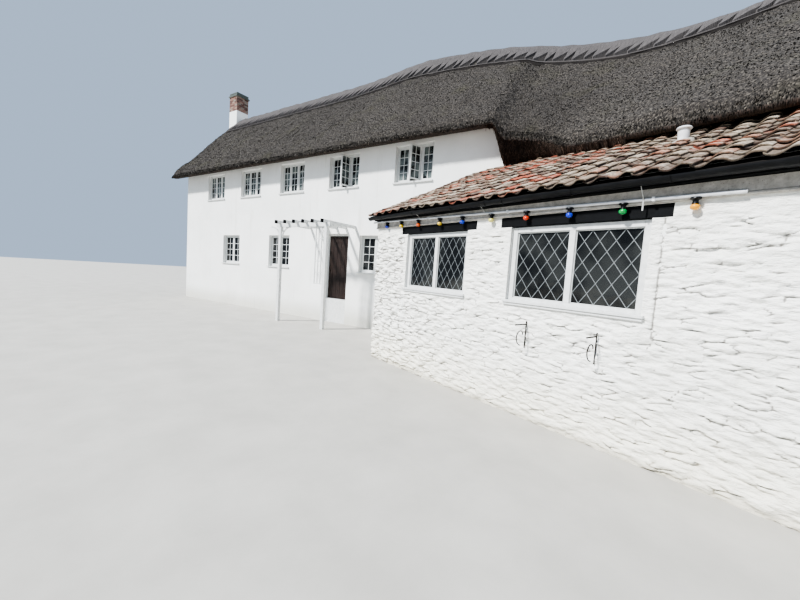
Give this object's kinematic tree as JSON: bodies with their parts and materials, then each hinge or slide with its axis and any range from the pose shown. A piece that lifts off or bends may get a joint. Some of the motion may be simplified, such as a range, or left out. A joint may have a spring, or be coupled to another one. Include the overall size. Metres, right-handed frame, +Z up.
{
  "type": "thatched cottage inn with a pantiled lean-to",
  "caption": "Long two-storey thatched cottage used as an inn, white walls, a bend in its plan, a single-storey tiled lean-to in front, a timber porch and an entrance door that opens.",
  "frame": {"origin": "on the lowest ground under the middle of the whole building's box", "axes": "+X along the lean-to's front wall to the right as seen from the street, +Y into the building away from the street, +Z up"},
  "size_m": [23.7504, 11.1798, 9.9],
  "materials": {
    "white_render": "smooth limewashed render, matt",
    "white_rubble": "rough rubble stone under many coats of white masonry paint",
    "thatch": "weathered reed ends, matt and bristly",
    "thatch_ridge": "weathered ridge straw, matt",
    "pantiles": "old clay with lichen, matt",
    "black_timber": "black paint, weathered",
    "white_timber": "white gloss paint",
    "glazing": "window glass, dark behind",
    "brick": "weathered red brick",
    "floor_boards": "worn boards",
    "black_plastic": "black rainwater plastic, slightly dusty",
    "white_plastic": "white plastic, slightly dusty",
    "door_paint": "dark painted boards"
  },
  "bodies": {
    "building": {"left_front_wall_right_of_door": "white_render", "left_front_wall_over_door": "white_render", "left_front_wall_left_of_door": "white_render", "left_gable_wall": "white_render", "left_back_wall": "white_render", "right_front_wall": "white_render", "right_gable_wall": "white_render", "right_back_wall": "white_render", "chimney_stack": "white_render", "chimney_brick_top": "brick", "ground_floor_left": "floor_boards", "ground_floor_right": "floor_boards", "first_floor_left": "floor_boards", "first_floor_right": "floor_boards", "lean_to_floor": "floor_boards", "thatch_left_front": "thatch", "thatch_left_back": "thatch", "thatch_right_front": "thatch", "thatch_right_back": "thatch", "thatch_ridge_left": "thatch_ridge", "thatch_ridge_right": "thatch_ridge", "upper_window_1": "white_timber", "upper_window_2": "white_timber", "upper_window_3": "white_timber", "upper_window_4": "white_timber", "upper_window_5": "white_timber", "lower_window_1": "white_timber", "lower_window_2": "white_timber", "lower_window_3": "white_timber", "gable_window": "white_timber", "left_back_glass_upper": "glazing", "left_back_glass_lower": "glazing", "right_back_glass": "glazing", "front_door_frame": "white_timber", "porch_frame": "white_timber", "porch_trellis": "white_timber", "lean_to_front_wall": "white_rubble", "lean_to_left_end_wall": "white_rubble", "lean_to_right_end_wall": "white_rubble", "lean_to_tile_roof": "pantiles", "lean_to_fascia": "black_timber", "lean_to_gutter": "black_plastic", "leaded_window_1": "white_timber", "leaded_window_2": "white_timber", "leaded_window_3": "white_timber", "window_lintel_1": "black_timber", "window_lintel_2": "black_timber", "window_lintel_3": "black_timber", "lamp_conduit": "white_plastic", "flue_pipe": "white_plastic"},
    "door": {"front_door": "door_paint"}
  },
  "joints": [
    {"name": "front_door_hinge", "type": "hinge", "parent": "building", "child": "door", "pos_m": [-0.82961, -1.61727, 1.5], "axis": [0, 0, -1], "range_deg": [0, 90]}
  ]
}
